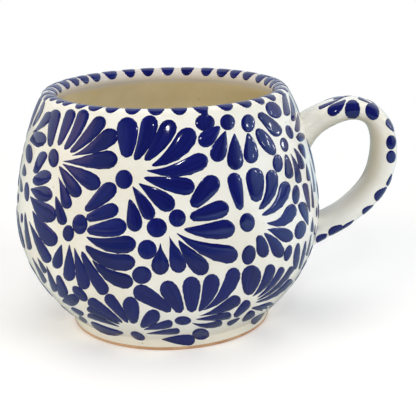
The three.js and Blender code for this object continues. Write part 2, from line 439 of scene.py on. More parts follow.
def strap_section(angle, share, place, along, length):
    """A point of the strap's skin. Angle 0 is the outer face, half a turn is the finger side."""
    outward = Vector((-along.y, along.x))
    thick = strap_thickness(share) / 2
    face = cos(angle)
    side = sin(angle)
    square = (abs(face) ** SECTION_POWER + abs(side) ** SECTION_POWER) ** (-1 / SECTION_POWER)
    face *= square
    side *= square
    from_root = min(share, 1 - share) * length
    near = max(0.0, 1 - from_root / JOINT_LENGTH) ** 2
    wide = STRAP_WIDTH / 2 + SLIP_SPREAD * near
    spot = place + outward * thick * face
    slump = UPPER_SLUMP if share < 0.5 else LOWER_SLUMP
    slump *= max(0.0, 1 - from_root / SLUMP_LENGTH) ** 2
    spot.y -= slump * max(0.0, -face * copysign(1, outward.y))
    wander = WANDER * sin(share * WANDER_PITCH + WANDER_START)
    wander += WRINKLE * sin(share * WRINKLE_PITCH + side)
    return at_vessel(spot.x, side * wide + wander, spot.y)


def make_handle():
    stations, length = handle_line()
    deselect()
    bpy.ops.mesh.primitive_circle_add(vertices=STRAP_SIDES, radius=1, fill_type="NGON")
    strap = bpy.context.object
    strap.name = "glazed_handle"
    strap.data.name = "glazed_handle"
    bpy.ops.object.mode_set(mode="EDIT")
    mesh = bmesh.from_edit_mesh(strap.data)
    turn = mesh.verts.layers.float.new("turn")
    for vertex in mesh.verts:
        vertex[turn] = atan2(vertex.co.y, vertex.co.x)
    first = stations[0]
    last = stations[-1]
    rings = [(first[0], first[1] - first[2] * ROOT_DEPTH, first[2])]
    rings += stations
    rings.append((last[0], last[1] + last[2] * ROOT_DEPTH, last[2]))
    for number, (share, place, along) in enumerate(rings):
        if number:
            bpy.ops.mesh.extrude_region()
        mesh = bmesh.from_edit_mesh(strap.data)
        turn = mesh.verts.layers.float["turn"]
        for vertex in mesh.verts:
            if vertex.select:
                vertex.co = strap_section(vertex[turn], share, place, along, length)
        bmesh.update_edit_mesh(strap.data)
    welded(STRAP_WELD)
    attributes = strap.data.attributes
    # Share of painted shade at each point: a little on the outer face, full on the finger side, which
    # faces away from the light
    attributes.new("painted_handle_shade", "FLOAT", "POINT")
    for turned, item in zip(attributes["turn"].data, attributes["painted_handle_shade"].data):
        inward = max(0.0, -cos(turned.value))
        item.value = OUTER_PAINTED_SHADE + (1 - OUTER_PAINTED_SHADE) * inward
    attributes.remove(attributes["turn"])
    round_off = strap.modifiers.new("round_off", "SUBSURF")
    round_off.levels = 1
    round_off.render_levels = 1
    bpy.ops.object.modifier_apply(modifier=round_off.name)
    smooth(strap)
    return strap


# Brushwork: one mark, modelled once and copied for every stroke of the brush
BODY_ROWS = (0.0, 0.12, 0.32, 0.56, 0.8, 1.0)
TIP_ROWS = (30, 58, 80, 90)
MARK_ROWS = len(BODY_ROWS) + len(TIP_ROWS) - 1
MARK_ACROSS = (-1.0, -0.8, -0.28, 0.28, 0.8, 1.0, -1.0)
HANDLE_MARK_ACROSS = (-1.0, -0.9, -0.7, -0.45, -0.15, 0.15, 0.45, 0.7, 0.9, 1.0, -1.0)
SHOULDER_LIFT = 0.86


def make_mark(name, crossing):
    """A flat tube: painted face, two shoulders and the side that lies in the glaze."""
    deselect()
    columns = len(crossing) - 1
    lift = (0.0, SHOULDER_LIFT, *[1.0] * (columns - 4), SHOULDER_LIFT, 0.0, 0.0)
    bpy.ops.mesh.primitive_grid_add(x_subdivisions=MARK_ROWS, y_subdivisions=columns, size=1)
    mark = bpy.context.object
    mark.name = name
    for vertex in mark.data.vertices:
        column = round((vertex.co.y + 0.5) * columns)
        vertex.co.x += 0.5
        vertex.co.y = crossing[column]
        vertex.co.z = lift[column]
    return mark


def row_share(row, full):
    """Rows crowd towards the rounded tip, past the place where the mark is fullest."""
    if row < len(BODY_ROWS):
        return full * BODY_ROWS[row]
    turned = TIP_ROWS[row - len(BODY_ROWS)]
    return full + (1 - full) * sin(radians(turned))


def petal_width(share, full, blunt, start, taper):
    """Half width along a petal, as a share of its fullest."""
    if share >= full:
        past = (share - full) / (1 - full)
        return sqrt(max(0.0, 1 - past * past))
    grown = blunt + (1 - blunt) * sin(pi / 2 * share / full) ** taper
    if share < start:
        grown *= sqrt(max(0.0, 1 - (1 - share / start) ** 2))
    return grown


def stroke_places(mark, lay, base, tip, width, bend=0.0, blunt=0.0, taper=1.0, oval=False,
                  spread=0.0):
    """Places of the mark's vertices for one stroke, and the stroke's footprint.

    lay(x, y) finds the place on the surface, and its normal, from flat places."""
    base = Vector(base)
    tip = Vector(tip)
    flow = (tip - base).normalized() * spread
    base -= flow * (1.0 if oval else 0.5)
    tip += flow
    width += 2 * spread
    span = tip - base
    length = span.length
    across = Vector((-span.y, span.x)) / length
    full = 0.5 if oval else 1 - min(TIP_LIMIT, 0.5 * width / length)
    start = min(BLUNT_LIMIT, 0.5 * blunt * width / length) if blunt else SHARP_START
    places = []
    edges = [{} for _ in range(MARK_ROWS + 1)]
    for vertex in mark.data.vertices:
        row = round(vertex.co.x * MARK_ROWS)
        if oval:
            share = (1 - cos(pi * row / MARK_ROWS)) / 2
            wide = sqrt(max(0.0, 1 - (2 * share - 1) ** 2))
        else:
            share = row_share(row, full)
            wide = petal_width(share, full, blunt, start, taper)
        bow = bend * 4 * share * (1 - share)
        lean = (span + across * bend * 4 * (1 - 2 * share)).normalized()
        side = Vector((-lean.y, lean.x))
        spot = base + span * share + across * bow + side * vertex.co.y * wide * width / 2
        place, normal = lay(spot.x, spot.y)
        raised = vertex.co.z * wide ** SHOULDER_POWER
        places.append(place + normal * (raised * STROKE_RISE - (1 - raised) * STROKE_SINK) * MM)
        edges[row][round(vertex.co.y, 2)] = place
    footprint = [((row[-1.0] + row[1.0]) / 2, (row[-1.0] - row[1.0]).length / 2) for row in edges]
    return places, footprint


def painted(mark, places):
    """A copy of the mark with its own mesh and its own dose of colour."""
    stroke = mark.copy()
    stroke.data = mark.data.copy()
    bpy.context.scene.collection.objects.link(stroke)
    for vertex, place in zip(stroke.data.vertices, places):
        vertex.co = place
    dose = stroke.data.attributes.new("dose", "FLOAT", "POINT").data
    dose.foreach_set("value", [random.random()] * len(dose))
    return stroke


class Painting:
    """The strokes of one piece of brushwork, and the ground that they cover."""

    def __init__(self, mark):
        self.mark = mark
        self.strokes = []
        self.covered = {}

    def cell(self, place):
        return tuple(floor(part / (COVER_CELL * MM)) for part in place)

    def clear(self, footprint, gap):
        """Whether a footprint keeps a gap, in millimetres, to every stroke laid so far."""
        for middle, half in footprint:
            x, y, z = self.cell(middle)
            for i, j, k in product((-1, 0, 1), repeat=3):
                for other, other_half in self.covered.get((x + i, y + j, z + k), ()):
                    if (middle - other).length < half + other_half + gap * MM:
                        return False
        return True

    def lay(self, *stroke, gap=None, **shape):
        """Paints a stroke; with a gap, only where it stays clear of the others."""
        places, footprint = stroke_places(self.mark, *stroke, **shape)
        if gap is not None and not self.clear(footprint, gap):
            return False
        self.strokes.append(painted(self.mark, places))
        for middle, half in footprint:
            self.covered.setdefault(self.cell(middle), []).append((middle, half))
        return True


def joined(name, strokes):
    deselect()
    for stroke in strokes:
        stroke.select_set(True)
    bpy.context.view_layer.objects.active = strokes[0]
    bpy.ops.object.join()
    work = bpy.context.object
    work.name = name
    work.data.name = name
    bpy.ops.object.mode_set(mode="EDIT")
    welded(STROKE_WELD)
    smooth(work, STROKE_SMOOTH_DEGREES)
    return work


def surface_of(*coats):
    mesh = bmesh.new()
    for piece in coats:
        mesh.from_mesh(piece.data)
    tree = BVHTree.FromBMesh(mesh)
    mesh.free()
    return tree


def under_pixel(tree, x, y, middle):
    """The place on a surface under a pixel, its normal, and the line of sight.

    A pixel beside the surface is drawn in towards a middle pixel, and the steps are counted."""
    spot = Vector((x, y))
    for step in range(SEARCH_STEPS):
        line = sight_line(spot.x, spot.y)
        place, normal, _, _ = tree.ray_cast(EYE, line)
        if place is not None:
            return place, normal, line, step
        spot += (Vector(middle) - spot).normalized() * SEARCH_PIXELS


def seen_on(tree, middle):
    """Finds the place under a pixel, and the way up from it along the line of sight."""
    def lay(x, y):
        place, normal, line, _ = under_pixel(tree, x, y, middle)
        return place, line / min(-STEEPEST_FACING, line.dot(normal))
    return lay


# Petals seen from the front, fan by fan, in pixels: base, tip, width, bend, blunt base, taper
PETALS = (
    # Upper left
    (49.9, 148, 57, 109.8, 10.8, -1, 0.4), (58.1, 146.6, 72.3, 109.6, 10.7, 0.2, 0.35),
    (63.6, 150.6, 84.8, 109.8, 12.1, 2.6, 0.35), (69, 153.4, 103, 117.3, 14.1, 2.2, 0.25),
    (69, 156.1, 115.7, 130.8, 17.6, 4.3, 0, 1.6), (59.6, 161, 117, 158, 18.7, 2, 0, 1.55),
    (60.7, 162.9, 98.9, 186.9, 17.1, -0.5, 0, 1.3), (58.5, 165.4, 78.6, 196.5, 13.4, -0.5, 0.08),
    (57.6, 175.3, 67.6, 208.5, 11, -1.2, 0, 1.5), (31.4, 133.4, 50.4, 112, 8.4, 2, 0, 1.1),
    (29.4, 140, 46, 138.4, 16.4), (34.6, 174, 45, 152, 9.2, -0.4, 0.5),
    (32.6, 182.8, 49.7, 172.2, 13.5, 1, 0.6), (24.2, 163, 24.2, 176, 4.5), (20.5, 175, 21.5, 192, 3),
    (30.3, 188.6, 52, 195.6, 16, 1),
    # Left
    (29.4, 195.4, 54.7, 219, 18, 1.5, 0, 1.3), (31.8, 209.2, 55.5, 244.2, 15.6, 2.2, 0, 1.2),
    (28, 218.7, 49.3, 262.2, 10.2, 1, 0, 1.3), (25, 211, 30, 249.8, 5.2, 1, 0.2),
    (31.4, 256, 45.5, 283, 4.5), (37, 257, 45.6, 273, 4.5), (46.2, 265, 56, 291.6, 6.2, 0.5),
    (57.6, 274.5, 64.8, 297.3, 10.2, 0.2, 0.35), (55.5, 195.3, 63.5, 224.7, 10, 0, 0.1),
    (84.3, 211.3, 114.2, 184.3, 16.6, 1, 0.3), (85.5, 219.3, 117.9, 207.9, 14.9, 0, 0.45),
    (86, 230.1, 125.8, 224.4, 18.2, 1.8, 0.35), (84.8, 235.8, 135.2, 241.8, 18, 6.2),
    (84.4, 244.2, 134.7, 260.8, 17.2, 8.3, 0.05, 0.65), (91.4, 258.5, 132.8, 282.3, 15.2, 5.8),
    (81.3, 250.2, 106.5, 293.6, 12.8, 2, 0.25), (73.7, 245, 85.7, 289, 13, 0.3, 0, 1.3),
    (69.3, 242.8, 69.4, 280.8, 12.5, 0, 0, 1.2), (62, 243.8, 56.9, 268.4, 10.8, 1),
    # Upper middle
    (126.3, 158.4, 127.3, 117.7, 21.6, 0.5, 0.42), (134, 161, 150.4, 115.7, 17.6, 3.4, 0.3),
    (143.9, 161.2, 171.3, 120.4, 17.6, 3.2, 0.3), (149.6, 166.3, 190.8, 128.4, 20.4, 7, 0.05),
    (143.5, 169.8, 206.3, 156.6, 18.4, 7.3, 0, 1.15), (142.5, 177.1, 194.3, 187.4, 17.8, 1.5, 0.1),
    (137.6, 182.8, 172.9, 208.7, 18, -0.8, 0.05, 1.25), (131.8, 185.5, 151.3, 219.1, 14.3, -1),
    (129.2, 198.6, 134.8, 231.3, 15.8, -1.5, 0.1),
    # Middle
    (160.4, 242, 160.1, 274.4, 18.2, 0, 0.05, 2.4), (168.6, 234.4, 180.2, 272.3, 16.8, -0.5, 0, 1.8),
    (178, 239.2, 206.7, 272.3, 18.2, 1.8, 0.08, 1.2),
    (173.4, 230.3, 237.5, 254.9, 18.8, 6.3, 0.02, 1.5),
    (182.6, 228.9, 234.3, 226.8, 19.2, 3.1, 0.12, 1.1), (189, 217.6, 228.1, 206, 18.1, 1, 0.4),
    (191.6, 207.2, 216.6, 177.4, 19.3, 0, 0.5),
    # Upper right
    (220.2, 126.2, 200.2, 144.7, 16.3, 0, 0.15), (225.9, 130, 215.4, 161.1, 16.5),
    (234.4, 132.4, 235.5, 169.6, 16.6), (247.4, 132.3, 250.4, 163, 15, -1.8, 0.1),
    (257.7, 112.9, 279.6, 135.4, 12.5, -1.2, 0.5), (204.5, 107.5, 204.7, 121, 7, 0, 0.9),
    # Right
    (240.7, 211, 233, 173.2, 14.6, 0, 0.4), (256.2, 202.6, 253.4, 168.2, 18.3, 0.8, 0.5),
    (258, 210.2, 270.1, 170.3, 12.6, 7, 0.3), (260.4, 215.6, 285, 181.4, 12, 8, 0.22),
    (265.4, 222.6, 292.3, 204.1, 12.8, 9, 0.05), (266.4, 229.3, 292, 239.2, 13.9, -1.5, 0, 1.25),
    (263.4, 232.8, 279.7, 257.6, 13, -3.3, 0.1), (257.9, 235.2, 262.5, 257.3, 12.8, -2, 0.45),
    # Right edge
    (283.6, 91.5, 287.5, 115.7, 6.7, 0, 0.45), (288.2, 94, 293.3, 121.2, 5, -1.8),
    (297.6, 112, 297, 132, 5.6, -0.6), (295.8, 137.4, 304.8, 136.8, 9.6),
    (285.5, 153.5, 289.3, 178.5, 8.8, -0.9, 0.25), (289.8, 152.4, 298.5, 183.2, 6.8, -2.4),
    (293.4, 147.6, 302, 169.3, 6.4, -1.8, 0.15), (305.8, 159.5, 299.8, 143.8, 6.3),
    (306.3, 162.6, 309.1, 181, 4), (310.3, 213.5, 304.7, 183.2, 6, 0, 0.1),
    (308.4, 226, 301.3, 202.2, 9.2), (310.2, 178, 313.2, 208, 2.6, -0.6), (309, 158, 314.6, 192, 2, -1),
    (313, 216, 312, 232, 3), (315.6, 224, 314.8, 235, 2.5), (311.4, 233, 306.6, 256, 2.2, -0.5, 0.3),
    # Lower right
    (247.5, 295.5, 253, 265.8, 19.8, 0.3, 0.35), (251.3, 297.4, 271.2, 264.4, 10.7, 4.2, 0, 1.1),
    (255.8, 298.6, 282.8, 267.2, 6.7, 3.2, 0.05), (255.2, 300.8, 292.8, 266.6, 5.6, 4.5, 0.18),
    (254, 302.9, 291.7, 279.4, 5.9, 4.1, 0.2), (250.8, 308, 274, 304.6, 8.4, 1.5, 0.1),
    (265.2, 312.3, 251.6, 323.2, 6, 0, 0.1), (233.8, 317.3, 249.2, 301, 8.8, 0.3, 0.45),
    (240.4, 317.8, 227.5, 324.7, 4.8, 0, 0.2), (242, 321.4, 254.4, 311.7, 7.6, 0, 0.25),
    # Lower middle
    (171.9, 311.9, 134.2, 289, 17, 1, 0.35), (181, 313.4, 163.5, 282.6, 18.2, 1.3, 0.4),
    (191.7, 313, 191.5, 277, 18.4, 0, 0.4), (198.2, 312.2, 212.5, 274.4, 16.7, 3.2, 0.15, 1.15),
    (200.9, 311.2, 234.8, 268, 14.9, 7.5, 0, 1.15), (196.3, 316.6, 239.5, 297.4, 12, 3, 0, 1.7),
    (194.8, 319.4, 231.2, 314.9, 7.6, 0.8, 0.05), (191.2, 322.6, 222, 321.8, 6.6, 3.6, 0.05),
    (160.6, 339.3, 194.7, 340.2, 11.2),
    # Lower left
    (133.8, 324.3, 127.4, 297.7, 16.4, 1.5, 0.35), (128.6, 323.5, 106.3, 295.2, 11.4, 0.4, 0.25),
    (123.8, 323.5, 88.5, 299.8, 10.2, 0, 0.15), (120.8, 324.6, 87.2, 308, 6, 0, 0.3),
    (120.5, 327.2, 87.5, 314.8, 5, 0, 0.1), (140.8, 327.7, 158.9, 312.9, 14.7, -1, 0.2),
    (142.7, 329.9, 172.5, 323, 8.4), (145, 333.9, 179.6, 330.9, 6.3),
    (62, 301.2, 78.8, 300.8, 12.5, -1, 0.1), (70.8, 307.6, 83.3, 315, 5, 0, 0.5),
)
# Ovals: the two ends, the width, and how far the middle bows out
OVALS = (
    (26.5, 182, 27, 201.5, 5.2), (257, 129, 274.6, 154.8, 13.3), (267.5, 102.9, 279.7, 117, 13.5),
    (287, 125.2, 292.1, 138.8, 6.9), (282.5, 137.7, 286, 151.7, 8), (277.3, 154.6, 278.2, 172.1, 10.5),
    (296.2, 185, 295.6, 204.3, 7.8), (302.8, 221, 297.9, 239, 11.2), (290.5, 245.2, 285.5, 261, 7.3),
    (130.8, 332.9, 144.8, 339, 7.4), (73, 286.7, 86.8, 300.8, 9.5), (78.8, 316.6, 87.2, 322.9, 4),
    (251, 245.6, 246.5, 264.4, 13.8), (298.4, 242.8, 294.9, 269.6, 6.5),
    (91, 321.8, 123.3, 333, 7.7, 3.3), (306, 240.5, 298.9, 270, 3.4, -0.8),
    (32.4, 126.5, 44.6, 99.8, 3.8, 1.2), (28.9, 144, 29.3, 163.5, 7.2),
)
# Dots at the heart of the fans: middle, half width, half height
DOTS = (
    (53.6, 158, 5.4, 9.2), (79.9, 224.3, 7.7, 9.7), (68.4, 233.3, 5.8, 8), (147.2, 249.6, 9.6, 9.4),
    (141.8, 275.1, 9.9, 8.4), (124, 179.4, 8.8, 9.2), (156.8, 227.7, 10.2, 9.3),
    (177.3, 218.1, 8.6, 8.5), (205, 122.6, 9.9, 8), (227.6, 122.2, 7.6, 7.7), (248.1, 123.3, 7, 8.8),
    (247.2, 222.5, 7.7, 9.2), (182.9, 320.7, 8.3, 4), (200.7, 334.1, 8.6, 5.3),
)
# Specks that fell off the brush
SPECKS = ((53.2, 187), (263.8, 223.2), (286, 122.2), (142.4, 343.4), (246, 332.2))
SPECK_HALF = 0.35
BODY_MIDDLE = (167, 205)


def turned_half(tree, lay):
    """The same place half a turn round the vessel's axis."""
    turn = Matrix.Rotation(pi, 3, "Z")
    axis = at_vessel(0, 0, 0)

    def lay_turned(x, y):
        place, _ = lay(x, y)
        return tree.find_nearest(turn @ (place - axis) + axis)[:2]
    return lay_turned


def body_strokes():
    """Every stroke on the body as: base, tip, width, bend, blunt, taper, oval."""
    for x0, y0, x1, y1, width, *shape in PETALS:
        bend, blunt, taper = shape + [0.0, 0.0, 1.0][len(shape):]
        yield (x0, y0), (x1, y1), width, bend, blunt, taper, False
    for x0, y0, x1, y1, width, *shape in OVALS:
        bend = shape[0] if shape else 0.0
        yield (x0, y0), (x1, y1), width, bend, 0.0, 1.0, True
    specks = tuple((x, y, SPECK_HALF, SPECK_HALF) for x, y in SPECKS)
    for x, y, half_wide, half_high in DOTS + specks:
        yield (x, y - half_high), (x, y + half_high), 2 * half_wide, 0.0, 0.0, 1.0, True


OUTLINE_STEPS = 40
RUN = 0
RISE = 2


def wall_outline():
    """Run along the outside from the foot's crease, radius and height, in millimetres."""
    knots = wall_knots(0)[:3]
    curves = []
    for (_, start, leaving), (arriving, end, _) in zip(knots, knots[1:]):
        curves.append((start, leaving, arriving, end))
    return [(run, *place) for run, place, _ in run_along(curves, OUTLINE_STEPS)]


WALL_OUTLINE = wall_outline()


def along_outline(value, column):
    """The outline's row where a column, RUN or RISE, reaches a value."""
    for before, after in zip(WALL_OUTLINE, WALL_OUTLINE[1:]):
        if value <= after[column]:
            break
    share = (value - before[column]) / (after[column] - before[column])
    return [start + (end - start) * share for start, end in zip(before, after)]


def round_the_wall(tree, turn, run):
    """Places on the wall in millimetres from a turn and a run: x round it, y up it."""
    radius_here = along_outline(run, RUN)[1]

    def lay(x, y):
        _, radius, height = along_outline(run + y, RUN)
        way = turn + x / radius_here
        spot = at_vessel(radius * cos(way), radius * sin(way), height)
        return tree.find_nearest(spot)[:2]
    return lay


def wall_place(place):
    """Turn round the axis and run up the wall of a place on it."""
    return atan2(place.y, place.x - AXIS_X), along_outline(place.z / MM, RISE)[0]


def lay_at_edge(painting, tree, front, base, tip, width, bend, *shape):
    """A stroke near the edge of the view, laid at its true width on the wall."""
    middle = (Vector(base) + Vector(tip)) / 2
    span = Vector(tip) - Vector(base)
    across = Vector((-span.y, span.x)).normalized()
    one_side = front(*(middle + across))[0]
    other_side = front(*(middle - across))[0]
    scale = (one_side - other_side).length / 2 / MM
    turn, run = wall_place(front(*middle)[0])
    radius = along_outline(run, RUN)[1]
    ends = []
    for pixel in (base, tip):
        end_turn, end_run = wall_place(front(*pixel)[0])
        ends.append(((end_turn - turn) * radius, end_run - run))
    true_width = min(EDGE_WIDTH_LIMIT, width * (1 + 2 * PAINT_SPREAD) * scale)
    lay = round_the_wall(tree, turn, run)
    painting.lay(lay, *ends, true_width, -bend * scale, *shape)


# Fans out of view: degrees round from the front, towards the handle, and height
UNSEEN_FANS = (
    (-78, 66), (-77, 48), (-100, 56), (-104, 33), (-84, 24), (-116, 70), (-118, 16), (-98, 76),
    (76, 70), (78, 40), (80, 20), (102, 30), (104, 52), (104, 72), (92, 12), (-96, 12),
)
UNSEEN_PETALS = 11
UNSEEN_LENGTH = 15.0
UNSEEN_WIDTH = 6.5
UNSEEN_BEND = 0.8
UNSEEN_SHRINKS = (1.0, 0.88, 0.76, 0.64, 0.52, 0.42)
WIDTH_KEPT = 0.4
ANGLE_JITTER = 0.1
HEART_RADIUS = 2.7
HEART_GAP = 1.6
PETAL_GAP = 0.45

# Loose dots among them, tried on a grid of degrees and heights, the largest that fits
DOT_TURN_START = 58
DOT_TURN_END = 128
DOT_STEP = 3
DOT_HEIGHTS = range(8, 80, DOT_STEP)
DOT_JITTER = 1
DOT_RADII = (2.9, 2.3, 1.7)
DOT_WIDTH_PER_RADIUS = 1.8
DOT_GAP = 2.2 * PETAL_GAP


def paint_unseen_sides(painting, tree):
    """Fans and loose dots between the front and the back, clear of the strokes already there."""
    for degrees, height in UNSEEN_FANS:
        turn = radians(degrees - 90)
        lay = round_the_wall(tree, turn, along_outline(height, RISE)[0])
        painting.lay(lay, (0, -HEART_RADIUS), (0, HEART_RADIUS), 2 * HEART_RADIUS, oval=True,
                     gap=PETAL_GAP)
        for number in range(UNSEEN_PETALS):
            jitter = random.uniform(-ANGLE_JITTER, ANGLE_JITTER)
            angle = 2 * pi * (number + jitter) / UNSEEN_PETALS
            way = Vector((cos(angle), sin(angle)))
            base = way * (HEART_RADIUS + HEART_GAP)
            for shrink in UNSEEN_SHRINKS:
                tip = base + way * (UNSEEN_LENGTH * shrink)
                width = UNSEEN_WIDTH * (WIDTH_KEPT + (1 - WIDTH_KEPT) * shrink)
                bend = random.uniform(-UNSEEN_BEND, UNSEEN_BEND)
                if painting.lay(lay, base, tip, width, bend, gap=PETAL_GAP):
                    break
    for degrees in range(-DOT_TURN_END, DOT_TURN_END + 1, DOT_STEP):
        if abs(degrees) < DOT_TURN_START:
            continue
        for height in DOT_HEIGHTS:
            turn = radians(degrees - 90 + random.uniform(-DOT_JITTER, DOT_JITTER))
            rise = height + random.uniform(-DOT_JITTER, DOT_JITTER)
            lay = round_the_wall(tree, turn, along_outline(rise, RISE)[0])
            for radius in DOT_RADII:
                width = DOT_WIDTH_PER_RADIUS * radius
                if painting.lay(lay, (0, -radius), (0, radius), width, oval=True, gap=DOT_GAP):
                    break


def make_body_brushwork(mark, body):
    tree = surface_of(body)
    front = seen_on(tree, BODY_MIDDLE)
    back = turned_half(tree, front)
    painting = Painting(mark)
    for base, tip, width, bend, *shape in body_strokes():
        middle, normal = front((base[0] + tip[0]) / 2, (base[1] + tip[1]) / 2)
        facing = normal.dot((EYE - middle).normalized())
        if facing < EDGE_FACING:
            lay_at_edge(painting, tree, front, base, tip, width, bend, *shape)
            continue
        painting.lay(front, base, tip, width, bend, *shape, PAINT_SPREAD * width)
        if atan2(-middle.y, abs(middle.x - AXIS_X)) > radians(90 - FULL_VIEW):
            painting.lay(back, base, tip, width, bend, *shape, PAINT_SPREAD * width)
    paint_unseen_sides(painting, tree)
    return joined("body_brushwork", painting.strokes)


# Marks over the lip, by the pixel where each one crosses its crown
LIP_MARKS = (
    (50.5, 102.7), (61.8, 104), (79, 106), (94.5, 107.5), (111.5, 109), (132, 110), (155.5, 110.5),
    (180, 110.5), (203.5, 109.5), (230.5, 107), (251.5, 104), (268.5, 101), (279.5, 97), (285, 91.5),
    (285.5, 87.7), (283.5, 84), (279.5, 80.8), (273.5, 78), (263, 75.5), (248.5, 73), (236, 71),
    (222.5, 70), (206.5, 69), (186.5, 69), (167.5, 69), (148, 69.5), (130.5, 71), (113, 73), (97.5, 75),
    (86, 77), (75.5, 79), (66, 82), (57, 85.5), (50, 89), (46.5, 93), (46.5, 96), (50.5, 99),
)
LIP_MARK_INSIDE = 4.2
LIP_MARK_OUTSIDE = 3.2
LIP_MARK_WIDTH = 5.8
LIP_MARK_VARIES = (0.92, 1.12)
LIP_MARK_LEAN = 0.4
LIP_MARK_DRIFT = 0.008
FRONT_OF_LIP = 96


def over_the_lip(tree, turn):
    """Places over the lip in millimetres: x along it from a turn, y from its crown outwards."""
    quarter = pi * WALL / 4

    def lay(x, y):
        on_the_round = max(-quarter, min(quarter, y))
        radius, height = lip_edge(LIP_CROWN - on_the_round / (WALL / 2), 0)
        height -= abs(y - on_the_round)
        way = turn + x / LIP_RADIUS
        spot = at_vessel(radius * cos(way), radius * sin(way), height)
        return tree.find_nearest(spot)[:2]
    return lay


def make_lip_brushwork(mark, *coats):
    tree = surface_of(*coats)
    painting = Painting(mark)
    for x, y in LIP_MARKS:
        line = sight_line(x, y)
        crown = EYE + line * (HEIGHT * MM - EYE.z) / line.z
        turn = atan2(crown.y, crown.x - AXIS_X)
        lean = random.uniform(-LIP_MARK_LEAN, LIP_MARK_LEAN)
        width = LIP_MARK_WIDTH * random.uniform(*LIP_MARK_VARIES)
        drift = LIP_MARK_DRIFT * (x - MIDDLE_PIXEL[0]) if y > FRONT_OF_LIP else 0.0
        painting.lay(over_the_lip(tree, turn), (lean, -LIP_MARK_INSIDE),
                     (drift - lean, LIP_MARK_OUTSIDE + min(0.0, drift)), width, oval=True)
    return joined("lip_brushwork", painting.strokes)


# Marks on the handle's near edge, in pixels: two ends, width, bend, blunt base
HANDLE_PETALS = (
    (346.3, 98.7, 327.6, 113.3, 12, -1.5), (352.2, 119.3, 352.6, 99.6, 16, 0, 0.85),
    (394, 132.3, 387.8, 118.3, 9), (392, 173, 387.5, 186, 4.5), (387.2, 186.3, 376, 201, 11.5),
    (374, 204.5, 363, 214.5, 8.5), (343.5, 226, 328.8, 235, 11, 0, 0.4), (354.5, 219.5, 343, 229, 5),
    (327.5, 233.5, 316.5, 242, 9),
)
# Ovals beside them, and thin strokes over the top of the handle: two ends and width
HANDLE_OVALS = (
    (369.5, 102.8, 375, 120, 14.5), (391.5, 135, 390.7, 149.7, 10.5), (391.5, 150.3, 390.5, 163.3, 10),
)
HANDLE_TOP_STROKES = (
    (345, 97, 318.5, 108.5, 3.5), (351, 95.7, 333, 98.8, 2), (373, 104.5, 358, 97.8, 2.5),
)
HANDLE_MIDDLE = (372, 160)
HANDLE_PIXEL = 0.37


def round_the_strap(tree):
    """Finds the place under a pixel; a pixel beside the strap goes round its edge."""
    def lay(x, y):
        place, normal, line, step = under_pixel(tree, x, y, HANDLE_MIDDLE)
        if step:
            past = place + line * step * SEARCH_PIXELS * HANDLE_PIXEL * MM
            place, normal = tree.find_nearest(past)[:2]
        return place, normal
    return lay


def make_handle_brushwork(mark, strap):
    lay = round_the_strap(surface_of(strap))

    def lay_far(x, y):
        place, normal = lay(x, y)
        return Vector((place.x, -place.y, place.z)), Vector((normal.x, -normal.y, normal.z))
    painting = Painting(mark)
    rounds = []
    for side in (lay, lay_far):
        rounds += [(side, HANDLE_PETALS, False), (side, HANDLE_OVALS, True)]
    for side, rows, oval in (*rounds, (lay, HANDLE_TOP_STROKES, False)):
        for x0, y0, x1, y1, width, *shape in rows:
            painting.lay(side, (x0, y0), (x1, y1), width, *shape, oval=oval)
    return joined("handle_brushwork", painting.strokes)


# Materials
class Nodes:
    """Makes the nodes of a material, a group or the world, and links them."""

    def __init__(self, tree):
        self.tree = tree

    def add(self, kind, inputs=None, **settings):
        made = self.tree.nodes.new("ShaderNode" + kind)
        for setting, value in settings.items():
            setattr(made, setting, value)
        for socket, value in (inputs or {}).items():
            if isinstance(value, bpy.types.NodeSocket):
                self.tree.links.new(value, made.inputs[socket])
            else:
                made.inputs[socket].default_value = value
        return made.outputs

    def mix(self, share, first, second, blend="MIX"):
        inputs = {0: share, 6: first, 7: second}
        return self.add("Mix", inputs, data_type="RGBA", blend_type=blend)[2]

    def math(self, operation, first, second=0.0):
        return self.add("Math", {0: first, 1: second}, operation=operation)[0]

    def times(self, first, second):
        return self.math("MULTIPLY", first, second)

    def ranged(self, value, low, high, to_low=0.0, to_high=1.0):
        inputs = {0: value, 1: low, 2: high, 3: to_low, 4: to_high}
        return self.add("MapRange", inputs, interpolation_type="SMOOTHSTEP")[0]

    def noise(self, place, scale, detail, roughness=0.5):
        inputs = {"Vector": place, "Scale": scale, "Detail": detail, "Roughness": roughness}
        return self.add("TexNoise", inputs)[0]

    def spots(self, place, scale, rarity, inner, outer):
        """Small round spots in some of the cells of a grain."""
        cells = self.add("TexVoronoi", {"Vector": place, "Scale": scale})
        picked = self.math("GREATER_THAN", cells["Color"], rarity)
        return self.times(picked, self.ranged(cells["Distance"], inner, outer, 1.0, 0.0))


# Spots in every glaze: grain, share of the cells without one, full and outer radius
PINHOLES = (330.0, 0.8, 0.1, 0.22)
KILN_SPECKS = (150.0, 0.82, 0.05, 0.13)
PINHOLE_DEPTH = 0.12
RIPPLE_DETAIL = 2.0
RIPPLE_ROUGHNESS = 0.45
# Grains: scale, detail, roughness
DEPTH_GRAIN = (38.0, 4.0, 0.6)
STREAK_GRAIN = (1.0, 3.0)
CLAY_GRAIN = (900.0, 3.0)
CLAY_BLOTCHES = (120.0, 2.0)


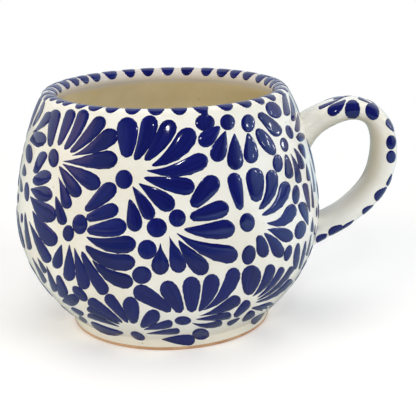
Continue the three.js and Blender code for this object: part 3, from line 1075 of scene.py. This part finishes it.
def glaze_group():
    """What every fired glaze here has: slow ripples, pinholes, kiln specks and uneven depth."""
    group = bpy.data.node_groups.new("fired_glaze", "ShaderNodeTree")
    for name, kind in (("Place", "NodeSocketVector"), ("Ripple Scale", "NodeSocketFloat")):
        group.interface.new_socket(name, in_out="INPUT", socket_type=kind)
    for name in ("Height", "Depth", "Pinholes", "Specks"):
        group.interface.new_socket(name, in_out="OUTPUT", socket_type="NodeSocketFloat")
    start = group.nodes.new("NodeGroupInput").outputs
    end = group.nodes.new("NodeGroupOutput").inputs
    nodes = Nodes(group)
    place = start["Place"]
    pits = nodes.spots(place, *PINHOLES)
    ripple = nodes.noise(place, start["Ripple Scale"], RIPPLE_DETAIL, RIPPLE_ROUGHNESS)
    made = {
        "Height": nodes.math("SUBTRACT", ripple, nodes.times(pits, PINHOLE_DEPTH)),
        "Depth": nodes.noise(place, *DEPTH_GRAIN),
        "Pinholes": pits,
        "Specks": nodes.spots(place, *KILN_SPECKS),
    }
    for name, value in made.items():
        group.links.new(value, end[name])
    return group


GLAZE_GROUP = glaze_group()

# Colours in display values
TIN = linear(247, 246, 238)
THIN_TIN = linear(240, 236, 222)
# Painted shade low on the vessel: the foot wall by its crease, and the recess under the foot
FOOT_SHADE_TIN = linear(226, 212, 180)
# Painted shade on the handle's glaze
PAINTED_SHADE_TIN = linear(196, 189, 166)
TIN_SPECK = linear(150, 120, 90)
# Liner colours: partly the inner glaze and partly painted shade, darker and yellower because the inside
# lies in shade; above a line under the lip the colour stays paler and pinker
SHADED_LINER = linear(223, 210, 178)
THIN_SHADED_LINER = linear(213, 197, 158)
LIP_ABOVE_SHADE = linear(212, 205, 198)
# Painted light on the lower inside
LIT_LOW_LINER = linear(252, 244, 216)
# Painted shade on the inside's right side
SHADED_RIGHT_LINER = linear(190, 174, 134)
LINER_SPECK = linear(140, 110, 80)
BLUE = linear(11, 16, 88)
STREAKED_BLUE = linear(30, 41, 130)
POOLED_BLUE = linear(9, 12, 74)
DOSED_BLUE = linear(19, 26, 115)
CLAY = linear(212, 172, 132)
BLOTCHED_CLAY = linear(197, 150, 112)
GRAINED_CLAY = linear(232, 204, 172)

# Changes over depth, height or grain: where each begins and ends, and its value there
TIN_THINS = (0.42, 0.68)
FOOT_PAINTED_SHADE = (3 * MM, 10 * MM, 0.35, 0.0)
PAINTED_SHADE_HEIGHTS = (30 * MM, 60 * MM, 0.06, 0.85)
LINER_THINS = (0.35, 0.7)
LIP_SHADE_LINE = ((HEIGHT - 4.6) * MM, (HEIGHT - 3.2) * MM)
LOW_INSIDE_PAINTED_LIGHT = (58 * MM, 72 * MM, 0.95, 0.0)
RIGHT_PAINTED_SHADE = (-8 * MM, 22 * MM, 0.0, 0.8)
RIGHT_SHADE_BELOW_LIP = (79 * MM, 74 * MM)
STREAKS = (0.38, 0.78, 0.0, 0.5)
COBALT_POOLS = (0.35, 0.7, 0.0, 0.5)
CLAY_BLOTCHED = (0.35, 0.65)
CLAY_GRAINED = (0.55, 0.75, 0.0, 0.5)
CLAY_ROUGH = (0.3, 0.7, 0.8, 0.95)
# Shares and shifts of the specks, the painted shade line under the inner lip and the cobalt's streaks
TIN_SPECKLED = 0.45
LINER_SPECKLED = 0.4
LIP_SHADE_LINE_WAVE = 2.4 * MM
STREAK_STRETCH = (1.4, 8.0, 1.0)
DOSE_SHIFT = 50.0
DOSE_SHARE = 0.35
# Scale of the ripples; finish as roughness, roughness in pinholes, relief in millimetres
TIN_RIPPLE = 75.0
LINER_RIPPLE = 60.0
COBALT_RIPPLE = 90.0
TIN_FINISH = (0.07, 0.3, 0.35)
LINER_FINISH = (0.1, 0.3, 0.4)
COBALT_FINISH = (0.08, 0.25, 0.3)
CLAY_RELIEF = 0.1


def new_material(name):
    material = bpy.data.materials.new(name)
    material.use_nodes = True
    return material, Nodes(material.node_tree)


def dressed(material, nodes, colour, rough, height, relief):
    """Feeds a material's shader its colour, its roughness and a fine relief in millimetres."""
    normal = nodes.add("Bump", {"Height": height, "Distance": relief * MM})[0]
    inputs = nodes.tree.nodes["Principled BSDF"].inputs
    for name, value in (("Base Color", colour), ("Roughness", rough), ("Normal", normal)):
        nodes.tree.links.new(value, inputs[name])
    return material


def glaze_on(name, ripple_scale):
    """A new glazed material: its nodes, the place on the piece, and the shared effects."""
    material, nodes = new_material(name)
    place = nodes.add("TexCoord")["Object"]
    inputs = {"Place": place, "Ripple Scale": ripple_scale}
    return material, nodes, place, nodes.add("Group", inputs, node_tree=GLAZE_GROUP)


def glazed(material, nodes, glaze, colour, sleek, pitted, relief):
    """Finishes a glazed material, sleek but for its pinholes."""
    rough = nodes.ranged(glaze["Pinholes"], 0.0, 1.0, sleek, pitted)
    return dressed(material, nodes, colour, rough, glaze["Height"], relief)


def tin_glaze():
    material, nodes, place, glaze = glaze_on("tin_glaze", TIN_RIPPLE)
    colour = nodes.mix(nodes.ranged(glaze["Depth"], *TIN_THINS), TIN, THIN_TIN)
    height = nodes.add("SeparateXYZ", {0: place})["Z"]
    # Painted shade: warmer and darker below ten millimetres, by the foot's crease and in the recess
    # under it
    colour = nodes.mix(nodes.ranged(height, *FOOT_PAINTED_SHADE), colour, FOOT_SHADE_TIN)
    # Painted shade on the handle: greyer on its finger side, more so higher up the bow
    painted_handle_shade = nodes.add("Attribute", attribute_name="painted_handle_shade")["Fac"]
    painted_shade = nodes.times(nodes.ranged(painted_handle_shade, 0.0, 1.0), nodes.ranged(height, *PAINTED_SHADE_HEIGHTS))
    colour = nodes.mix(painted_shade, colour, PAINTED_SHADE_TIN)
    colour = nodes.mix(nodes.times(glaze["Specks"], TIN_SPECKLED), colour, TIN_SPECK)
    return glazed(material, nodes, glaze, colour, *TIN_FINISH)


def liner_glaze():
    material, nodes, place, glaze = glaze_on("liner_glaze", LINER_RIPPLE)
    colour = nodes.mix(nodes.ranged(glaze["Depth"], *LINER_THINS), SHADED_LINER, THIN_SHADED_LINER)
    parts = nodes.add("SeparateXYZ", {0: place})
    height = parts["Z"]
    # Painted shade line: below a wavy line under the lip, the inside takes the shaded liner colour
    uneven = nodes.math("ADD", height, nodes.times(glaze["Depth"], LIP_SHADE_LINE_WAVE))
    colour = nodes.mix(nodes.ranged(uneven, *LIP_SHADE_LINE), colour, LIP_ABOVE_SHADE)
    # Painted light: the inside paler towards the bottom, where light falls in through the mouth
    colour = nodes.mix(nodes.ranged(height, *LOW_INSIDE_PAINTED_LIGHT), colour, LIT_LOW_LINER)
    # Painted shade: the inside darker and yellower towards the right, below the lip
    right = nodes.ranged(parts["X"], *RIGHT_PAINTED_SHADE)
    painted_right_shade = nodes.times(right, nodes.ranged(height, *RIGHT_SHADE_BELOW_LIP))
    colour = nodes.mix(painted_right_shade, colour, SHADED_RIGHT_LINER)
    colour = nodes.mix(nodes.times(glaze["Specks"], LINER_SPECKLED), colour, LINER_SPECK)
    return glazed(material, nodes, glaze, colour, *LINER_FINISH)


def cobalt():
    """Cobalt with streaks along each stroke, which the stroke's dose shifts and deepens."""
    material, nodes, _, glaze = glaze_on("cobalt_brushwork", COBALT_RIPPLE)
    flow = nodes.add("UVMap")[0]
    stretched = nodes.add("Mapping", {"Vector": flow, "Scale": STREAK_STRETCH})[0]
    dose = nodes.add("Attribute", attribute_name="dose")["Fac"]
    offset = nodes.add("CombineXYZ", {0: nodes.times(dose, DOSE_SHIFT)})[0]
    shifted = nodes.add("VectorMath", {0: stretched, 1: offset}, operation="ADD")[0]
    streak = nodes.ranged(nodes.noise(shifted, *STREAK_GRAIN), *STREAKS)
    colour = nodes.mix(streak, BLUE, STREAKED_BLUE)
    colour = nodes.mix(nodes.ranged(glaze["Depth"], *COBALT_POOLS), colour, POOLED_BLUE)
    colour = nodes.mix(nodes.times(dose, DOSE_SHARE), colour, DOSED_BLUE)
    return glazed(material, nodes, glaze, colour, *COBALT_FINISH)


def bare_clay():
    material, nodes = new_material("bare_clay")
    place = nodes.add("TexCoord")["Object"]
    grain = nodes.noise(place, *CLAY_GRAIN)
    blotch = nodes.noise(place, *CLAY_BLOTCHES)
    colour = nodes.mix(nodes.ranged(blotch, *CLAY_BLOTCHED), CLAY, BLOTCHED_CLAY)
    colour = nodes.mix(nodes.ranged(grain, *CLAY_GRAINED), colour, GRAINED_CLAY)
    rough = nodes.ranged(grain, *CLAY_ROUGH)
    return dressed(material, nodes, colour, rough, grain, CLAY_RELIEF)


TIN_GLAZE = tin_glaze()
LINER_GLAZE = liner_glaze()
COBALT = cobalt()
BARE_CLAY = bare_clay()

# The mug
random.seed(7)
finished(make_clay_body(), BARE_CLAY, "clay", "thrown_body")
outer_glaze = finished(make_outer_glaze(), TIN_GLAZE, "tin_glaze", "outer_glaze")
liner = finished(make_liner(), LINER_GLAZE, "liner_glaze", "inner_glaze")
finished(make_recess_glaze(), TIN_GLAZE, "tin_glaze", "foot_recess_glaze")
handle = finished(make_handle(), TIN_GLAZE, "tin_glaze",
                  "handle_strap", "handle_glaze", "upper_slip_joint", "lower_slip_joint")
brush_mark = make_mark("brush_mark", MARK_ACROSS)
handle_mark = make_mark("handle_mark", HANDLE_MARK_ACROSS)
finished(make_body_brushwork(brush_mark, outer_glaze), COBALT, "cobalt")
finished(make_lip_brushwork(brush_mark, outer_glaze, liner), COBALT, "cobalt")
finished(make_handle_brushwork(handle_mark, handle), COBALT, "cobalt")
bpy.data.objects.remove(brush_mark)
bpy.data.objects.remove(handle_mark)

# Studio floor: colours as the glaze mirrors them, paper, and where they change, in metres
MIRRORED_FRONT = (0.14, 0.24, 0.44, 1)
MIRRORED_NEAR = (0.45, 0.54, 0.54, 1)
MIRRORED_ASIDE = (0.5, 0.58, 0.68, 1)
MIRRORED_RIGHT = (0.58, 0.82, 1.0, 1)
DIM_PAPER = (0.12, 0.12, 0.12, 1)
PAPER = (0.88, 0.88, 0.88, 1)
PAPER_LIFT = 0.2
FLOOR_RADIUS = 6
FLOOR_SIDES = 96
FRONT_EDGE = (-0.17, -0.11)
ASIDE_EDGE = (0.12, 0.45)
RIGHT_EDGE = (0.05, 0.2)
SHADOW_EDGE = (0.12, 0.3)


def make_floor():
    deselect()
    bpy.ops.mesh.primitive_circle_add(vertices=FLOOR_SIDES, radius=FLOOR_RADIUS,
                                      fill_type="NGON", location=(AXIS_X, 0, 0))
    floor = bpy.context.object
    floor.name = "studio_floor"
    material, nodes = new_material("white_paper")
    nodes.tree.nodes.clear()
    place = nodes.add("TexCoord")["Object"]
    parts = nodes.add("SeparateXYZ", {0: place})
    path = nodes.add("LightPath")
    front = nodes.ranged(parts["Y"], *FRONT_EDGE)
    aside = nodes.ranged(nodes.math("ABSOLUTE", parts["X"]), *ASIDE_EDGE)
    mirrored = nodes.mix(front, MIRRORED_FRONT, MIRRORED_NEAR)
    mirrored = nodes.mix(aside, mirrored, MIRRORED_ASIDE)
    mirrored = nodes.mix(nodes.ranged(parts["X"], *RIGHT_EDGE), mirrored, MIRRORED_RIGHT)
    colour = nodes.mix(front, DIM_PAPER, PAPER)
    colour = nodes.mix(path["Is Glossy Ray"], colour, mirrored)
    paper = nodes.add("BsdfDiffuse", {"Color": colour})[0]
    lift = nodes.add("Emission", {"Strength": nodes.times(path["Is Camera Ray"], PAPER_LIFT)})[0]
    lit = nodes.add("AddShader", {0: paper, 1: lift})[0]
    reach = nodes.add("VectorMath", {0: place}, operation="LENGTH")["Value"]
    past_front = nodes.ranged(front, 0.0, 1.0, 1.0, 0.0)
    far = nodes.math("MAXIMUM", nodes.ranged(reach, *SHADOW_EDGE), past_front)
    white = nodes.add("Emission")[0]
    ground = nodes.add("MixShader", {0: nodes.times(far, path["Is Camera Ray"]), 1: lit, 2: white})
    nodes.add("OutputMaterial", {"Surface": ground[0]})
    floor.data.materials.append(material)


# What the glaze mirrors: a dark room with a pale wall behind
DARK_ROOM = (0.08, 0.09, 0.1, 1)
BACK_WALL = (0.86, 0.94, 1.0, 1)
BACK_EDGE = (0.0, 0.25)
ROOM_LIGHT = (0.33, 0.33, 0.33, 1)
WHITE = (1, 1, 1, 1)
# In it, by direction, glow and cone: a soft window right, warm wood left, a dim wall front left
GLOWS = (
    ((0.95, -0.12, 0.27), (0.62, 0.92, 1.2, 1), 0.86),
    ((-0.95, -0.1, 0.3), (1.0, 0.66, 0.62, 1), 0.93),
    ((-0.86, -0.45, 0.18), (0.26, 0.36, 0.65, 1), 0.75),
)


def make_world():
    world = bpy.data.worlds.new("studio")
    bpy.context.scene.world = world
    world.use_nodes = True
    nodes = Nodes(world.node_tree)
    path = nodes.add("LightPath")
    where = nodes.add("TexCoord")["Generated"]
    behind = nodes.ranged(nodes.add("SeparateXYZ", {0: where})["Y"], *BACK_EDGE)
    mirrored = nodes.mix(behind, DARK_ROOM, BACK_WALL)
    for way, glow, cone in GLOWS:
        inputs = {0: where, 1: Vector(way).normalized()}
        toward = nodes.add("VectorMath", inputs, operation="DOT_PRODUCT")["Value"]
        mirrored = nodes.mix(nodes.ranged(toward, cone, 1.0), mirrored, glow, "ADD")
    light = nodes.mix(path["Is Glossy Ray"], ROOM_LIGHT, mirrored)
    light = nodes.mix(path["Is Camera Ray"], light, WHITE)
    nodes.tree.links.new(light, nodes.tree.nodes["Background"].inputs["Color"])


# Softboxes, which the glaze doesn't mirror: place, side in metres, power, colour
SOFTBOXES = (
    ("overhead_softbox", (0, 150, 1000), 0.9, 3.75, (1, 1, 1)),
    ("front_softbox_left", (-720, -520, 480), 0.6, 4.8, (1.0, 0.94, 0.82)),
    ("front_softbox_right", (720, -520, 480), 0.6, 3.8, (0.97, 0.99, 1.0)),
)
FRONT_LAMP = ("small_lamp_front", (10, -640, 560), (0.035, 0.055), 0.35, True)
# Small lamps on the right, each for a glint on a petal
RIGHT_LAMPS = (
    ("small_lamp_right_high", (787, -218, 430)), ("small_lamp_right_far", (846, 103, 330)),
    ("small_lamp_right_middle", (877, -13, 262)), ("small_lamp_right_near", (832, -281, 244)),
    ("small_lamp_right_low", (864, 212, 184)),
)
RIGHT_LAMP_SIZE = (0.03, 0.05)
RIGHT_LAMP_POWER = 0.13
LAMP_AIM = (0, 0, 45)


def lamp(name, place, size, power, mirrored, colour=(1, 1, 1)):
    data = bpy.data.lights.new(name, "AREA")
    data.shape = "RECTANGLE"
    data.size, data.size_y = size
    data.energy = power
    data.color = colour
    light = bpy.data.objects.new(name, data)
    bpy.context.scene.collection.objects.link(light)
    light.visible_glossy = mirrored
    light.location = at_vessel(*place)
    aim = at_vessel(*LAMP_AIM) - light.location
    light.rotation_euler = aim.to_track_quat("-Z", "Y").to_euler()


make_floor()
make_world()
for name, place, side, power, colour in SOFTBOXES:
    lamp(name, place, (side, side), power, False, colour)
lamp(*FRONT_LAMP)
for name, place in RIGHT_LAMPS:
    lamp(name, place, RIGHT_LAMP_SIZE, RIGHT_LAMP_POWER, True)
bpy.context.scene.view_settings.view_transform = "Standard"
